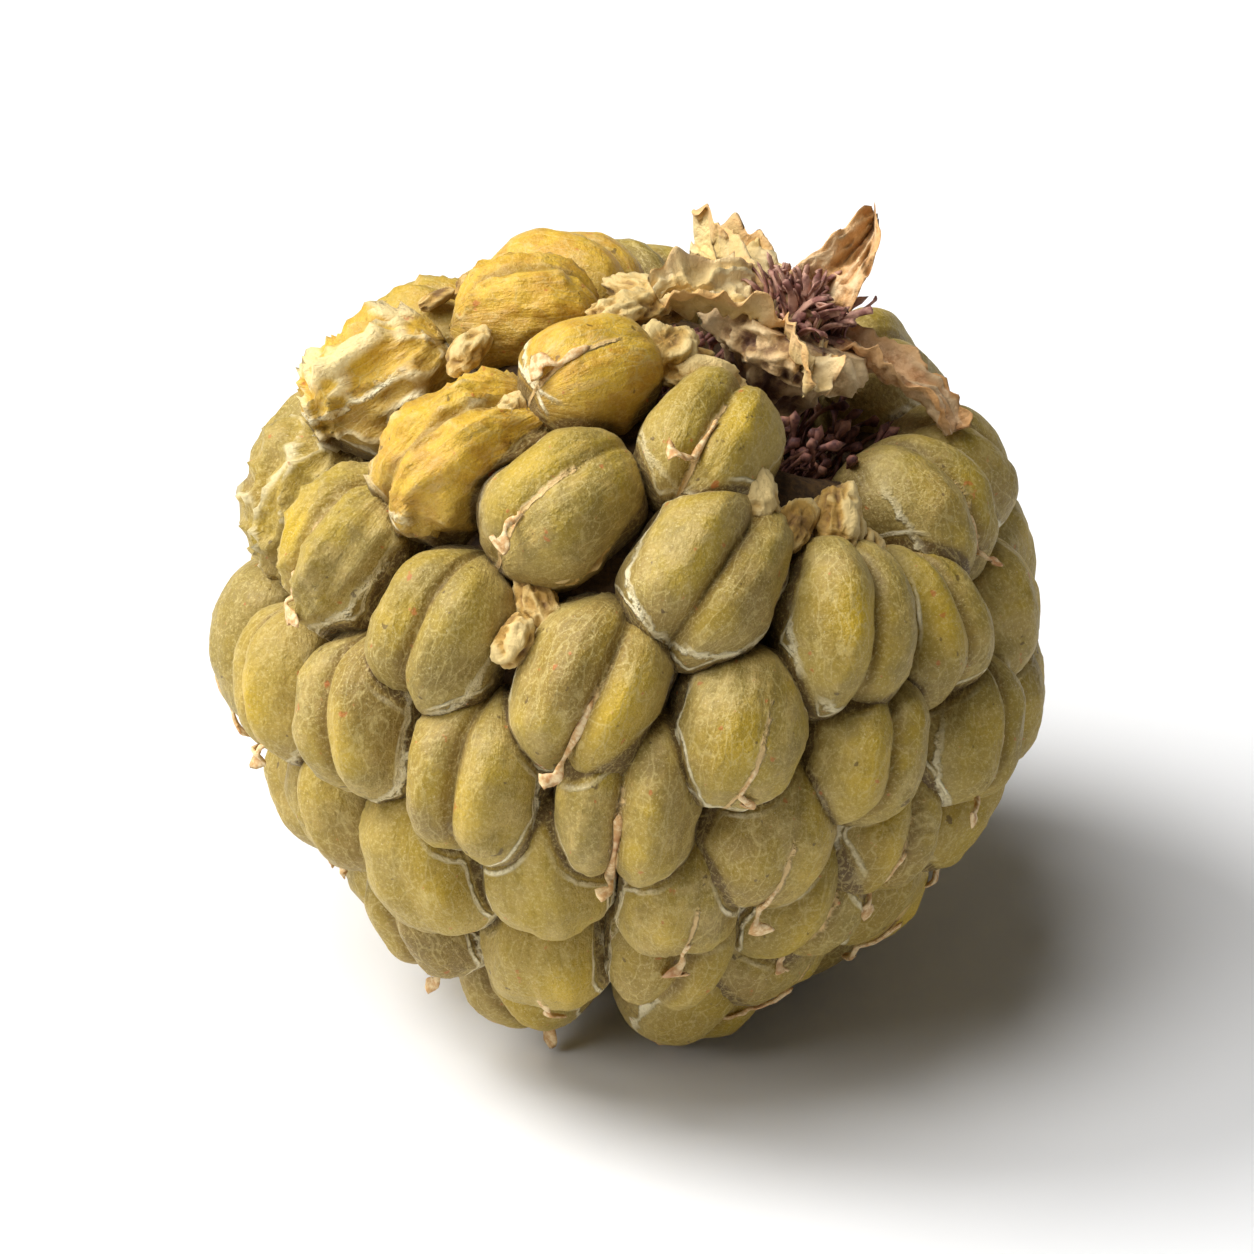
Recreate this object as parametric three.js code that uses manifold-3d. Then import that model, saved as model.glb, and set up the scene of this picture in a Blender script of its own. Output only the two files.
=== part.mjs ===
// A dried unripe raspberry, as gathered for tea: a round head of two-lobed drupelets grown
// together on one core, with the withered calyx and its stamens still in the hollow of the base.
// Millimetres, +Z up, front towards -Y. The berry stands on small flat spots worn on its lowest
// drupelets, leaning back a little, with its base up and its tip down. The origin is on the surface
// that it stands on, below the middle of the head.
import * as THREE from 'three';
import { mergeVertices } from 'three/addons/utils/BufferGeometryUtils.js';
import Module from 'manifold-3d';

const wasm = await Module();
wasm.setup();

// Driving dimensions of the head
const shoulderRadius = 5.18; // centre to the drupelet tops, at the widest
const lowerTaper = 0.1; // share of the radius lost below the shoulder
const tipRise = 0.07; // share of the radius won back at the tip
const shoulderBulge = 0.075; // share of the radius added on the side that dried fullest
const bulgePlace = { polar: 52, azimuth: -72, spread: 44 };
const centreHeight = 4.66; // head's centre above the surface that the berry rests on
const resting = { spread: 22, flat: 0.16 }; // drupelets this close to straight down are worn flat this deep

// Directions of the head's axis, as slants from the vertical: towards the back (+Y) and the right (+X)
const tipSlant = { back: 22, right: 4 }; // the rows run round this axis near the tip
const baseSlant = { back: 9, right: 26 }; // and round this one at the base, which leans aside

// One drupelet, before its own variation
const drupelet = { width: 2.02, length: 2.36, depth: 2.0, cleft: 0.36, beak: 0.12 };
const tipTilt = 9; // degrees that its tip end is raised, over the next row
const drupeletSink = 0.88; // depth of a drupelet's middle below its top
const sizeSpread = 0.1;
const twistSpread = 11; // degrees
const polarSpread = 3.2; // degrees
const azimuthSpread = 0.1; // share of the spacing in a row
const heightSpread = 0.12;

// Rows of drupelets from the base to the tip, in degrees from the base and round the axis
const rows = [
  { polar: 37, count: 10, start: -8, size: 0.86 },
  { polar: 58, count: 13, start: 1, size: 0.98 },
  { polar: 79, count: 15, start: -10, size: 1 },
  { polar: 100, count: 15, start: 3, size: 1 },
  { polar: 121, count: 13, start: 16, size: 0.97 },
  { polar: 142, count: 9, start: -20, size: 0.96 },
  { polar: 163, count: 4, start: 45, size: 0.9 },
];
const rowGap = { row: 0, azimuth: 28 }; // the base row leaves this place free, where stamens show
const drawSeed = 20261;

// The withered calyx on the stub of the receptacle
const hollowFloor = 2.75; // centre of the head to the floor of the hollow
const neck = { radius: 0.72, bottom: 2.95 };
const disc = { radius: 0.95, bottom: 4.35, top: 4.95 };
const scar = { radius: 0.38, top: 5.2 };
const sepalThickness = 0.6;
const sepalRoot = { inner: 0.28, outer: 0.52 }; // radii where a sepal leaves the disc
const sepals = [
  { azimuth: 82, length: 2.1, width: 1.0, lift: 20, curl: -62 },
  { azimuth: 150, length: 1.75, width: 1.35, lift: 62, curl: -25 },
  { azimuth: -135, length: 1.5, width: 1.2, lift: 38, curl: -70 },
  { azimuth: -72, length: 1.45, width: 1.2, lift: 34, curl: -85 },
  { azimuth: 8, length: 1.0, width: 0.9, lift: 5, curl: -40 },
];

// The ring of stamens under the calyx
const stamenRing = { inner: 0.95, outer: 1.32, bottom: 2.98, top: 3.4 };
const stamen = { count: 17, rise: 0.2, length: 0.9, lean: 0.1, bend: 0.12, thickness: 0.2, anther: 0.32 };
const stamenSpread = { length: 0.18, lean: 0.06, swing: 9 }; // share, millimetres, degrees

// A repeatable draw, from -1 to 1
let drawState = drawSeed;
function draw() {
  drawState = (Math.imul(drawState, 1664525) + 1013904223) >>> 0;
  return (drawState / 4294967296) * 2 - 1;
}

const radians = THREE.MathUtils.degToRad;

function smooth(low, high, value) {
  return THREE.MathUtils.smoothstep(value, low, high);
}

// The unit vector that leans this many degrees back and to the right
function slanted({ back, right }) {
  return new THREE.Vector3(Math.tan(radians(right)), Math.tan(radians(back)), 1).normalize();
}

// The frame that polar angles and azimuths are counted in: azimuth 0 faces the front, 90 the right
const tipAxis = slanted(tipSlant);
const baseAxis = slanted(baseSlant);
const frontWay = new THREE.Vector3(0, -1, 0).addScaledVector(tipAxis, tipAxis.y).normalize();
const rightWay = new THREE.Vector3().crossVectors(tipAxis, frontWay);
const leanAxis = new THREE.Vector3().crossVectors(tipAxis, baseAxis).normalize();
const leanAngle = tipAxis.angleTo(baseAxis);

// The direction from the head's centre at a polar angle and azimuth in degrees
function direction(polar, azimuth) {
  const p = radians(polar);
  const a = radians(azimuth);
  const way = new THREE.Vector3()
    .addScaledVector(frontWay, Math.sin(p) * Math.cos(a))
    .addScaledVector(rightWay, Math.sin(p) * Math.sin(a))
    .addScaledVector(tipAxis, Math.cos(p));
  return way.applyAxisAngle(leanAxis, leanAngle * (1 + Math.cos(p)) / 2);
}

const bulgeWay = direction(bulgePlace.polar, bulgePlace.azimuth);
const downWay = new THREE.Vector3(0, 0, -1);

function degreesApart(wayA, wayB) {
  return THREE.MathUtils.radToDeg(wayA.angleTo(wayB));
}

// How far the drupelet tops are from the centre
function headRadius(polar, way) {
  const taper = lowerTaper * smooth(72, 135, polar);
  const rise = tipRise * smooth(138, 175, polar);
  const bulge = shoulderBulge * (1 - smooth(0, bulgePlace.spread, degreesApart(way, bulgeWay)));
  return shoulderRadius * (1 - taper + rise + bulge);
}

function headPoint(polar, azimuth, below) {
  const way = direction(polar, azimuth);
  return way.multiplyScalar(headRadius(polar, way) - below);
}

// Axes on the head's surface: across a drupelet, along it towards the tip, and outwards
function surfaceAxes(polar, azimuth) {
  const step = 2;
  const along = headPoint(polar + step, azimuth, 0).sub(headPoint(polar - step, azimuth, 0)).normalize();
  const sideways = headPoint(polar, azimuth + step, 0).sub(headPoint(polar, azimuth - step, 0));
  const outward = new THREE.Vector3().crossVectors(along, sideways).normalize();
  const across = new THREE.Vector3().crossVectors(along, outward).normalize();
  return { across, along, outward };
}

// A closed solid from rings of points with a point at both ends, the rings turning right-handed
// about the way from the first end to the last
function ringSolid(firstPoint, pointRings, lastPoint) {
  const sides = pointRings[0].length;
  const points = [firstPoint, ...pointRings.flat(), lastPoint];
  const last = points.length - 1;
  const faces = [];
  for (let i = 0; i < sides; i += 1) {
    const next = (i + 1) % sides;
    faces.push(0, 1 + next, 1 + i);
    faces.push(last, last - sides + i, last - sides + next);
    for (let r = 0; r + 1 < pointRings.length; r += 1) {
      const near = 1 + r * sides;
      const far = near + sides;
      faces.push(near + i, near + next, far + next);
      faces.push(near + i, far + next, far + i);
    }
  }
  const geometry = new THREE.BufferGeometry();
  geometry.setAttribute('position', new THREE.Float32BufferAttribute(points.flatMap((p) => p.toArray()), 3));
  geometry.setIndex(faces);
  return geometry;
}

function solidFrom(geometry) {
  const bare = geometry.clone();
  bare.deleteAttribute('normal');
  bare.deleteAttribute('uv');
  const welded = mergeVertices(bare, 1e-5);
  return new wasm.Manifold(new wasm.Mesh({
    numProp: 3,
    vertProperties: new Float32Array(welded.attributes.position.array),
    triVerts: new Uint32Array(welded.index.array),
  }));
}

function geometryFrom(solid) {
  const mesh = solid.getMesh();
  const geometry = new THREE.BufferGeometry();
  geometry.setAttribute('position', new THREE.BufferAttribute(mesh.vertProperties, 3));
  geometry.setIndex(new THREE.BufferAttribute(mesh.triVerts, 1));
  return geometry;
}

function joined(geometries) {
  return geometries.map(solidFrom).reduce((whole, piece) => whole.add(piece));
}

// Draws together the ends of each edge shorter than this, where that leaves the skin whole and unfolded
const foldLimit = radians(60);
const sliverArea = 2e-3; // square millimetres, twice over, as a cross product gives it
const leastArea = 1e-6;

function withoutShortEdges(geometry, shortest) {
  const points = [];
  const position = geometry.attributes.position;
  for (let i = 0; i < position.count; i += 1) {
    points.push(new THREE.Vector3().fromBufferAttribute(position, i));
  }
  const faces = [];
  const facesAt = points.map(() => new Set());
  for (let t = 0; t < geometry.index.count; t += 3) {
    const face = Array.from(geometry.index.array.slice(t, t + 3));
    face.forEach((v) => facesAt[v].add(faces.length));
    faces.push(face);
  }
  const around = (v) => new Set([...facesAt[v]].flatMap((f) => faces[f]).filter((w) => w !== v));
  const facing = ([a, b, c]) => {
    const side = points[b].clone().sub(points[a]);
    return side.cross(points[c].clone().sub(points[a]));
  };
  const flat = (v) => Math.abs(points[v].z + centreHeight) < 1e-5;

  function drawTogether(kept, gone) {
    const nextToBoth = [...around(kept)].filter((v) => around(gone).has(v));
    const moving = [...new Set([...facesAt[kept], ...facesAt[gone]])]
      .filter((f) => !(faces[f].includes(kept) && faces[f].includes(gone)));
    if (nextToBoth.length !== 2) {
      return false;
    }
    const before = moving.map((f) => facing(faces[f]));
    const keptPlace = points[kept].clone();
    const gonePlace = points[gone].clone();
    const meeting = keptPlace.clone().add(gonePlace).multiplyScalar(0.5);
    if (flat(kept) || flat(gone)) {
      meeting.copy(flat(kept) ? keptPlace : gonePlace);
    }
    points[kept].copy(meeting);
    points[gone].copy(meeting);
    const folds = moving.some((f, k) => {
      const after = facing(faces[f]);
      const turnedOver = before[k].length() > sliverArea && after.angleTo(before[k]) > foldLimit;
      return after.length() < leastArea || turnedOver;
    });
    if (folds) {
      points[kept].copy(keptPlace);
      points[gone].copy(gonePlace);
      return false;
    }
    facesAt[gone].forEach((f) => {
      if (faces[f].includes(kept)) {
        faces[f].forEach((v) => v !== gone && facesAt[v].delete(f));
        faces[f] = null;
      } else {
        faces[f] = faces[f].map((v) => (v === gone ? kept : v));
        facesAt[kept].add(f);
      }
    });
    facesAt[gone].clear();
    return true;
  }

  let drawn = 1;
  while (drawn > 0) {
    drawn = 0;
    const edges = faces.flatMap((face) => (face ? face.map((v, k) => [v, face[(k + 1) % 3]]) : []))
      .filter(([a, b]) => a < b)
      .map(([a, b]) => ({ a, b, length: points[a].distanceTo(points[b]) }))
      .filter((edge) => edge.length < shortest)
      .sort((one, other) => one.length - other.length);
    edges.forEach(({ a, b }) => {
      const whole = facesAt[a].size > 0 && facesAt[b].size > 0 && around(a).has(b);
      if (whole && points[a].distanceTo(points[b]) < shortest && drawTogether(a, b)) {
        drawn += 1;
      }
    });
  }
  const tidied = new THREE.BufferGeometry();
  tidied.setAttribute('position', new THREE.Float32BufferAttribute(points.flatMap((p) => p.toArray()), 3));
  tidied.setIndex(faces.filter((face) => face).flat());
  return tidied;
}

// The outer skin alone: drops the skins of hollows sealed inside, and so fills them
function outerSkin(geometry) {
  const index = geometry.index.array;
  const parent = Array.from({ length: geometry.attributes.position.count }, (_, i) => i);
  const rootOf = (i) => {
    let root = i;
    while (parent[root] !== root) {
      root = parent[root];
    }
    parent[i] = root;
    return root;
  };
  for (let t = 0; t < index.length; t += 3) {
    parent[rootOf(index[t + 1])] = rootOf(index[t]);
    parent[rootOf(index[t + 2])] = rootOf(index[t]);
  }
  const faceCounts = new Map();
  for (let t = 0; t < index.length; t += 3) {
    const root = rootOf(index[t]);
    faceCounts.set(root, (faceCounts.get(root) ?? 0) + 1);
  }
  const [outer] = [...faceCounts].sort((a, b) => b[1] - a[1])[0];
  const kept = Array.from(index).filter((_, k) => rootOf(index[k - (k % 3)]) === outer);
  const skin = geometry.clone();
  skin.setIndex(kept);
  return skin;
}

// A two-lobed drupelet: an egg along Y with a cleft down its top and a beak at the tip end, Z outwards
const sideAngles = [0, 24, 56, 94, 140, 180, 220, 266, 304, 336];
const stations = [-0.88, -0.58, -0.18, 0.25, 0.64, 0.9];
const roundness = 2.2; // power of the egg's outline
const heartShape = 0.1; // the base end is this much wider than the middle

function drupeletGeometry(size) {
  const halfWidth = (drupelet.width / 2) * size;
  const halfLength = (drupelet.length / 2) * size;
  const halfDepth = (drupelet.depth / 2) * size;
  const rings = stations.map((v) => {
    const girth = (1 - Math.abs(v) ** roundness) ** (1 / roundness);
    return sideAngles.map((angle) => {
      const u = radians(angle);
      const x = halfWidth * girth * Math.sin(u) * (1 - heartShape * v);
      const cleft = angle === 0 ? drupelet.cleft * size : 0;
      return new THREE.Vector3(x, halfLength * v, halfDepth * girth * Math.cos(u) - cleft);
    });
  });
  const baseEnd = new THREE.Vector3(0, -halfLength * 0.96, 0);
  const beakEnd = new THREE.Vector3(0, halfLength + drupelet.beak * size, halfDepth * 0.25);
  return ringSolid(baseEnd, rings, beakEnd);
}

// Every drupelet of the head, placed by its row and the draw
function drupeletGeometries() {
  const pieces = [];
  rows.forEach((row, rowIndex) => {
    const spacing = 360 / row.count;
    for (let i = 0; i < row.count; i += 1) {
      const azimuth = row.start + spacing * (i + azimuthSpread * draw());
      const polar = row.polar + polarSpread * draw();
      const size = row.size * (1 + sizeSpread * draw());
      const twist = twistSpread * draw();
      const height = heightSpread * draw();
      const fromGap = Math.abs(THREE.MathUtils.euclideanModulo(azimuth - rowGap.azimuth + 180, 360) - 180);
      if (rowIndex === rowGap.row && fromGap < spacing / 2) {
        continue;
      }
      const { across, along, outward } = surfaceAxes(polar, azimuth);
      const place = new THREE.Matrix4().makeBasis(across, along, outward);
      place.multiply(new THREE.Matrix4().makeRotationZ(radians(twist)));
      place.multiply(new THREE.Matrix4().makeRotationX(radians(tipTilt)));
      const middle = headPoint(polar, azimuth, drupeletSink * size - height);
      place.setPosition(middle);
      const piece = drupeletGeometry(size).applyMatrix4(place);
      if (degreesApart(middle, downWay) < resting.spread) {
        piece.computeBoundingBox();
        piece.translate(0, 0, -centreHeight - resting.flat - piece.boundingBox.min.z);
      }
      pieces.push(piece);
    }
  });
  return pieces;
}

// The core that the drupelets grow from, sunk in at the base as a hollow
const coreDepth = 1.05; // below the drupelet tops
const hollowRings = [{ polar: 14, radius: hollowFloor }, { polar: 22, radius: hollowFloor * 1.08 }];
const corePolars = [29, 40, 58, 79, 100, 121, 142, 163];
const coreSides = 16;

function coreGeometry() {
  const azimuths = Array.from({ length: coreSides }, (_, i) => (-360 / coreSides) * i);
  const hollow = hollowRings.map(({ polar, radius }) => (
    azimuths.map((azimuth) => direction(polar, azimuth).multiplyScalar(radius))
  ));
  const outside = corePolars.map((polar) => (
    azimuths.map((azimuth) => headPoint(polar, azimuth, coreDepth))
  ));
  const floorMiddle = direction(0, 0).multiplyScalar(hollowFloor);
  return ringSolid(floorMiddle, [...hollow, ...outside], headPoint(180, 0, coreDepth));
}

// The half space above the surface that the berry stands on, as a block wider than the berry
function aboveFloor() {
  const blockSide = 20;
  const block = new THREE.BoxGeometry(blockSide, blockSide, blockSide);
  return solidFrom(block.translate(0, 0, blockSide / 2 - centreHeight));
}

// Places on the base: out from its axis by an azimuth and radius, and up it by a height
const baseFront = new THREE.Vector3(0, -1, 0).addScaledVector(baseAxis, baseAxis.y).normalize();
const baseRight = new THREE.Vector3().crossVectors(baseAxis, baseFront);

function basePoint(azimuth, radius, height) {
  const a = radians(azimuth);
  return new THREE.Vector3()
    .addScaledVector(baseFront, radius * Math.cos(a))
    .addScaledVector(baseRight, radius * Math.sin(a))
    .addScaledVector(baseAxis, height);
}

// A solid turned round the base axis, from a closed profile of [radius, height] pairs
function turned(profile, sides) {
  const lathe = new THREE.LatheGeometry(profile.map(([r, h]) => new THREE.Vector2(r, h)), sides);
  const place = new THREE.Matrix4().makeBasis(baseRight, baseAxis, baseFront);
  return lathe.applyMatrix4(place);
}

// A tapered strand along a list of points, with an oval section: wide across `side`, thin the other way
function strand(points, widths, thicknesses, side) {
  const sectionSides = 6;
  const rings = points.slice(1, -1).map((point, index) => {
    const ahead = points[index + 2].clone().sub(points[index]).normalize();
    const across = side.clone().addScaledVector(ahead, -side.dot(ahead)).normalize();
    const up = new THREE.Vector3().crossVectors(ahead, across);
    const ring = [];
    for (let i = 0; i < sectionSides; i += 1) {
      const a = (2 * Math.PI * i) / sectionSides;
      ring.push(point.clone()
        .addScaledVector(across, (widths[index] / 2) * Math.cos(a))
        .addScaledVector(up, (thicknesses[index] / 2) * Math.sin(a)));
    }
    return ring;
  });
  return ringSolid(points[0], rings, points[points.length - 1]);
}

// A withered sepal: leaves the disc at an angle of lift and curls by the curl angle towards its tip
function sepalGeometry({ azimuth, length, width, lift, curl }) {
  const steps = 6;
  let radius = sepalRoot.outer;
  let height = (disc.bottom + disc.top) / 2;
  const points = [basePoint(azimuth, sepalRoot.inner, height)];
  for (let i = 0; i <= steps; i += 1) {
    points.push(basePoint(azimuth, radius, height));
    const slope = radians(lift + (curl * i) / steps);
    radius += (length / steps) * Math.cos(slope);
    height += (length / steps) * Math.sin(slope);
  }
  const shares = [0.8, 1, 1, 0.92, 0.78, 0.6];
  const side = basePoint(azimuth + 90, 1, 0);
  return strand(points, shares.map((s) => s * width), shares.map(() => sepalThickness), side);
}

function calyxSolid() {
  const body = turned([
    [0, neck.bottom],
    [neck.radius, neck.bottom],
    [neck.radius * 0.9, disc.bottom],
    [disc.radius, disc.bottom + 0.12],
    [disc.radius * 0.92, disc.top],
    [scar.radius, disc.top - 0.05],
    [scar.radius * 0.9, scar.top],
    [0, scar.top],
  ], 12);
  return joined([body, ...sepals.map(sepalGeometry)]);
}

// Withered stamens: crooked threads with a knob at the end, standing round the neck on a common ring
function stamenGeometry(azimuth) {
  const middle = (stamenRing.inner + stamenRing.outer) / 2;
  const reach = stamen.length * (1 + stamenSpread.length * draw());
  const lean = stamen.lean + stamenSpread.lean * draw();
  const swing = stamenSpread.swing * draw();
  const point = (share) => basePoint(
    azimuth + swing * share * share,
    middle + lean * share + stamen.bend * share ** 3,
    stamenRing.bottom + stamen.rise + reach * share,
  );
  const shares = [0, 0.12, 0.45, 0.78, 0.9, 1];
  const points = shares.map(point);
  const widths = [stamen.thickness, stamen.thickness, stamen.thickness, stamen.anther];
  return strand(points, widths, widths, basePoint(azimuth + 90, 1, 0));
}

function stamensSolid() {
  const ring = turned([
    [stamenRing.inner, stamenRing.bottom],
    [stamenRing.outer, stamenRing.bottom],
    [stamenRing.outer, stamenRing.top],
    [stamenRing.inner, stamenRing.top],
    [stamenRing.inner, stamenRing.bottom],
  ], 16);
  const threads = [];
  for (let i = 0; i < stamen.count; i += 1) {
    threads.push(stamenGeometry((360 / stamen.count) * i));
  }
  return joined([ring, ...threads]);
}

const headSolid = joined([coreGeometry(), ...drupeletGeometries()]).intersect(aboveFloor());

const finishes = {
  drupelets: { color: '#8a8342', roughness: 0.62, metalness: 0 },
  calyx: { color: '#b98f5c', roughness: 0.8, metalness: 0 },
  stamens: { color: '#54333a', roughness: 0.85, metalness: 0 },
};
const shortestEdges = { drupelets: 0.14, calyx: 0.05, stamens: 0.03 };
const solids = { drupelets: headSolid, calyx: calyxSolid(), stamens: stamensSolid() };

const berry = new THREE.Group();
Object.entries(solids).forEach(([name, solid]) => {
  const skin = outerSkin(geometryFrom(solid));
  const geometry = withoutShortEdges(skin, shortestEdges[name]).translate(0, 0, centreHeight);
  const mesh = new THREE.Mesh(geometry, new THREE.MeshStandardMaterial(finishes[name]));
  mesh.name = name;
  berry.add(mesh);
});

export default berry;
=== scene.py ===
import math

import bpy
import numpy as np
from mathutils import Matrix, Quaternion, Vector


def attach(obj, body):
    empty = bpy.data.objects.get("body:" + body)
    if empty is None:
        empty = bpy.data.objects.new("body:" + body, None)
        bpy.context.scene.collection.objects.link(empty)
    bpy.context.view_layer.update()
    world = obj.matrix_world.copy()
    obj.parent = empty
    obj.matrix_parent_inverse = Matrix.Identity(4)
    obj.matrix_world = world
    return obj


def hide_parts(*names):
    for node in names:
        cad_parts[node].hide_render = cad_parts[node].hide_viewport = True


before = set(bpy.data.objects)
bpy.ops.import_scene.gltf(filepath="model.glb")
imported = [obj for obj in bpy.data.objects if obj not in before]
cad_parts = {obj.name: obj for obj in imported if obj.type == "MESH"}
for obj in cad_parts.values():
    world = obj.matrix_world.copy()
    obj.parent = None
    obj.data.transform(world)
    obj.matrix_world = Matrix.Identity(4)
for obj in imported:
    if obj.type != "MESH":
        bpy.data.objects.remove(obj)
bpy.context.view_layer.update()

mm = 0.001  # shapes are laid out in millimetres and turned into metres at the end

# The head, by the values and the rule of the solid that it replaces
head = {
    "shoulderRadius": 5.18,  # centre to the drupelet tops, at the widest
    "lowerTaper": {"share": 0.1, "from": 72, "to": 135},
    "tipRise": {"share": 0.07, "from": 138, "to": 175},
    "bulge": {"share": 0.075, "polar": 52, "azimuth": -72, "spread": 44},
    "centreHeight": 4.66,
    "resting": {"spread": 22, "flat": 0.16},
    "tipSlant": {"back": 22, "right": 4},  # degrees from the vertical
    "baseSlant": {"back": 9, "right": 26},
    "drawSeed": 20261,
    "rows": [  # from the base to the tip
        {"polar": 37, "count": 10, "start": -8, "size": 0.86},
        {"polar": 58, "count": 13, "start": 1, "size": 0.98},
        {"polar": 79, "count": 15, "start": -10, "size": 1},
        {"polar": 100, "count": 15, "start": 3, "size": 1},
        {"polar": 121, "count": 13, "start": 16, "size": 0.97},
        {"polar": 142, "count": 9, "start": -20, "size": 0.96},
        {"polar": 163, "count": 4, "start": 45, "size": 0.9},
    ],
    "rowGap": {"row": 0, "azimuth": 28},
    "spread": {"size": 0.1, "twist": 11, "polar": 3.2, "azimuth": 0.1, "height": 0.12},
    "golden": {"polar": 45, "azimuth": -78, "near": 12, "far": 47},  # ripest, driest side
    "withered": {"polar": 62, "azimuth": -80, "near": 14, "far": 36},  # where drupelets collapsed
}


def smooth(low, high, value):
    share = np.clip((value - low) / (high - low), 0, 1)
    return share * share * (3 - 2 * share)


def slanted(slant):
    sideways = math.tan(math.radians(slant["right"]))
    backwards = math.tan(math.radians(slant["back"]))
    return Vector((sideways, backwards, 1)).normalized()


tipAxis = slanted(head["tipSlant"])
baseAxis = slanted(head["baseSlant"])


def frontOf(axis):
    return (Vector((0, -1, 0)) + axis * axis.y).normalized()


frontWay = frontOf(tipAxis)
rightWay = tipAxis.cross(frontWay)
leanAxis = tipAxis.cross(baseAxis).normalized()
leanAngle = tipAxis.angle(baseAxis)


def direction(polar, azimuth):
    # from the head's centre, with the polar angle counted from the base and azimuth 0 at the front
    p = math.radians(polar)
    a = math.radians(azimuth)
    way = frontWay * math.sin(p) * math.cos(a) + rightWay * math.sin(p) * math.sin(a) + tipAxis * math.cos(p)
    way.rotate(Quaternion(leanAxis, leanAngle * (1 + math.cos(p)) / 2))
    return way


def patchWeight(way, patch):
    apart = math.degrees(way.angle(direction(patch["polar"], patch["azimuth"])))
    return 1 - float(smooth(patch["near"], patch["far"], apart))


def headRadius(polar, way):
    taper = head["lowerTaper"]
    rise = head["tipRise"]
    bulge = head["bulge"]
    apart = math.degrees(way.angle(direction(bulge["polar"], bulge["azimuth"])))
    share = 1 - taper["share"] * smooth(taper["from"], taper["to"], polar)
    share += rise["share"] * smooth(rise["from"], rise["to"], polar)
    share += bulge["share"] * (1 - smooth(0, bulge["spread"], apart))
    return head["shoulderRadius"] * float(share)


def headPoint(polar, azimuth, below):
    way = direction(polar, azimuth)
    return way * (headRadius(polar, way) - below)


def surfaceAxes(polar, azimuth):
    # across a drupelet, along it towards the tip, and outwards
    step = 2
    along = (headPoint(polar + step, azimuth, 0) - headPoint(polar - step, azimuth, 0)).normalized()
    sideways = headPoint(polar, azimuth + step, 0) - headPoint(polar, azimuth - step, 0)
    outward = along.cross(sideways).normalized()
    return along.cross(outward).normalized(), along, outward


class Draws:
    # the head's own repeatable draw, from -1 to 1
    def __init__(self, seed):
        self.state = seed

    def next(self):
        self.state = (self.state * 1664525 + 1013904223) % 4294967296
        return self.state / 4294967296 * 2 - 1


# Noise for shapes, from a hash of the corners of a lattice
def latticeValue(x, y, z, seed):
    mixed = x * np.uint32(374761393) + y * np.uint32(668265263) + z * np.uint32(2246822519)
    mixed = mixed + np.uint32(seed * 3266489 % 4294967296)
    mixed = (mixed ^ (mixed >> np.uint32(13))) * np.uint32(1274126177)
    mixed = mixed ^ (mixed >> np.uint32(16))
    return (mixed & np.uint32(65535)).astype(float) / 32767.5 - 1


def noise(points, frequency, seed):
    scaled = points * frequency + 511.3
    whole = np.floor(scaled)
    part = scaled - whole
    part = part * part * (3 - 2 * part)
    corner = whole.astype(np.uint32)
    total = np.zeros(len(points))
    for dx in (0, 1):
        for dy in (0, 1):
            for dz in (0, 1):
                weight = np.prod(np.abs(1 - np.array([dx, dy, dz]) - part), axis=1)
                step = np.array([dx, dy, dz], dtype=np.uint32)
                x, y, z = (corner + step).T
                total += weight * latticeValue(x, y, z, seed)
    return total


def ridges(points, frequency, seed):
    return 1 - 2 * np.abs(noise(points, frequency, seed))


def ringFaces(ringCount, sides):
    # quads between rings of points, with a fan to a point before the first and after the last ring
    faces = []
    last = 1 + ringCount * sides
    for i in range(sides):
        onward = (i + 1) % sides
        faces.append((0, 1 + onward, 1 + i))
        faces.append((last, last - sides + i, last - sides + onward))
    for r in range(ringCount - 1):
        near = 1 + r * sides
        far = near + sides
        for i in range(sides):
            onward = (i + 1) % sides
            faces.append((near + i, near + onward, far + onward, far + i))
    return faces


class Build:
    # gathers closed shells and their values for one piece
    def __init__(self):
        self.points = []
        self.faces = []
        self.values = {}
        self.count = 0

    def add(self, points, faces, values):
        self.points.append(points)
        self.faces.extend(tuple(v + self.count for v in face) for face in faces)
        self.count += len(points)
        for name, value in values.items():
            spread = np.broadcast_to(np.asarray(value, dtype=float), (len(points),))
            self.values.setdefault(name, []).append(spread)

    def piece(self, name, finish, node, slot):
        points = np.concatenate(self.points)
        points = points + np.array([0, 0, head["centreHeight"]])
        points[:, 2] = np.maximum(points[:, 2], 0)  # worn flat where it rests
        mesh = bpy.data.meshes.new(name)
        mesh.from_pydata((points * mm).tolist(), [], self.faces)
        for valueName, parts in self.values.items():
            layer = mesh.attributes.new(valueName, "FLOAT", "POINT")
            layer.data.foreach_set("value", np.concatenate(parts).astype(np.float32))
        mesh.shade_smooth()
        mesh.materials.append(finish)
        piece = bpy.data.objects.new(name, mesh)
        bpy.context.scene.collection.objects.link(piece)
        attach(piece, "root")
        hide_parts(node)
        triangles = sum(len(face) - 2 for face in self.faces)
        print("piece", name, triangles, "triangles")


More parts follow.
